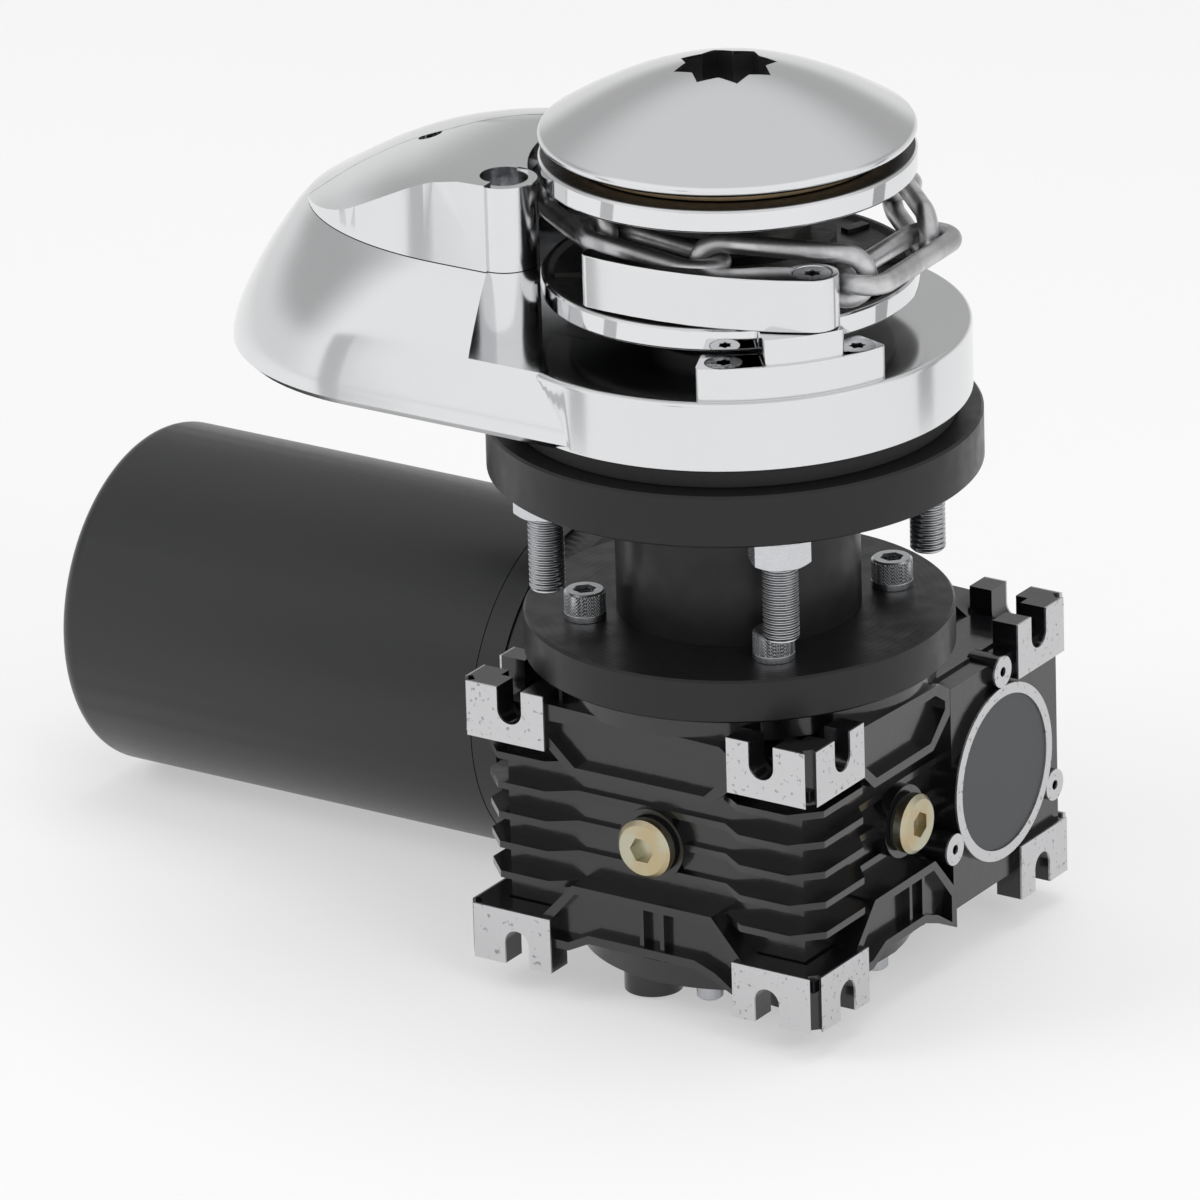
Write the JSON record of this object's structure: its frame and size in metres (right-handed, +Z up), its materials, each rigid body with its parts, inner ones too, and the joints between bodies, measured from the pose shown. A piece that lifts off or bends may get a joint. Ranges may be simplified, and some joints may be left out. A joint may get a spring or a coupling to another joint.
{
  "type": "vertical anchor windlass",
  "caption": "Vertical anchor windlass: chromed chain wheel with cone clutch and chain pod on deck, with a spool, finned worm gearbox and round motor below.",
  "frame": {"origin": "on the drum axis, in the plane of the base plate's underside, where it rests on its gasket on the deck", "axes": "+Z up along the drum axis, the motor lies along -X, the chain pod points to -X, the pressure arm and the front oil plug face -Y"},
  "size_m": [0.3628, 0.1987, 0.3183],
  "materials": {
    "cast_black": "gloss",
    "cap_grey": "matte",
    "zinc_yellow": "satin",
    "rubber_black": "matte",
    "steel": "satin",
    "bearing_steel": "polished",
    "stainless": "satin",
    "bronze": "satin",
    "brass_plain": "satin",
    "motor_black": "satin",
    "magnet": "matte",
    "copper": "satin",
    "graphite": "matte",
    "board_brown": "matte",
    "anodised_black": "satin",
    "chrome_plate": "polished",
    "chrome_wheel": "polished",
    "galvanised": "satin"
  },
  "bodies": {
    "frame": {"gear_housing": "cast_black", "output_cover": "cast_black", "cover_bolts": "steel", "worm_cap": "cap_grey", "oil_plugs": "zinc_yellow", "plug_seals": "rubber_black", "worm_bearings": "bearing_steel", "worm_seal": "rubber_black", "main_bearings": "bearing_steel", "shaft_seal": "rubber_black", "motor_adapter": "motor_black", "adapter_screws": "steel", "motor_ring": "motor_black", "motor_can": "motor_black", "magnets": "magnet", "brushes": "graphite", "brush_plate": "board_brown", "motor_bearings": "bearing_steel", "terminals": "brass_plain", "spool": "anodised_black", "flange_screws": "stainless", "flange_washers": "stainless", "deck_studs": "stainless", "stud_nuts": "stainless", "stud_washers": "stainless", "gasket": "rubber_black", "base": "chrome_plate", "base_bush": "bronze", "lid_pin": "stainless", "bracket": "chrome_plate", "bracket_screws": "stainless", "arm_pin": "stainless", "arm_spring": "steel", "chain": "galvanised"},
    "shaft_line": {"main_shaft": "steel", "worm_wheel": "bronze", "wheel_key": "steel", "lower_cone": "brass_plain", "cone_key": "steel"},
    "worm_line": {"worm_shaft": "steel", "worm_circlip": "steel", "armature": "copper", "commutator": "copper"},
    "wheel": {"chain_wheel": "chrome_wheel"},
    "clutch": {"upper_cone": "brass_plain"},
    "cap": {"dome_cap": "chrome_plate"},
    "arm": {"pressure_arm": "chrome_plate"},
    "lid": {"pod_lid": "chrome_plate"}
  },
  "joints": [
    {"name": "shaft_turn", "type": "hinge", "parent": "frame", "child": "shaft_line", "pos_m": [0, 0, 0], "axis": [0, 0, 1], "continuous": true},
    {"name": "worm_spin", "type": "hinge", "parent": "frame", "child": "worm_line", "pos_m": [0, 0.055, -0.144], "axis": [1, 0, 0], "continuous": true},
    {"name": "wheel_spin", "type": "hinge", "parent": "shaft_line", "child": "wheel", "pos_m": [0, 0, 0], "axis": [0, 0, 1], "continuous": true},
    {"name": "clutch_lift", "type": "slide", "parent": "shaft_line", "child": "clutch", "axis": [0, 0, 1], "range_m": [0, 0.002]},
    {"name": "cap_turn", "type": "hinge", "parent": "clutch", "child": "cap", "pos_m": [0, 0, 0], "axis": [0, 0, 1], "range_deg": [0, 360]},
    {"name": "arm_swing", "type": "hinge", "parent": "frame", "child": "arm", "pos_m": [0.0558, -0.0376, 0.05], "axis": [0, 0, 1], "range_deg": [0, 20], "stiffness_Nm_per_rad": 1.5, "springref_deg": -11.46},
    {"name": "lid_swing", "type": "hinge", "parent": "frame", "child": "lid", "pos_m": [-0.056, -0.049, 0.06], "axis": [0, 0, 1], "range_deg": [0, 95]}
  ],
  "couplings": [
    {"joint": "worm_spin", "follows": "shaft_turn", "ratio": 30},
    {"joint": "cap_turn", "follows": "clutch_lift", "rad_per_m": 3141.6}
  ]
}
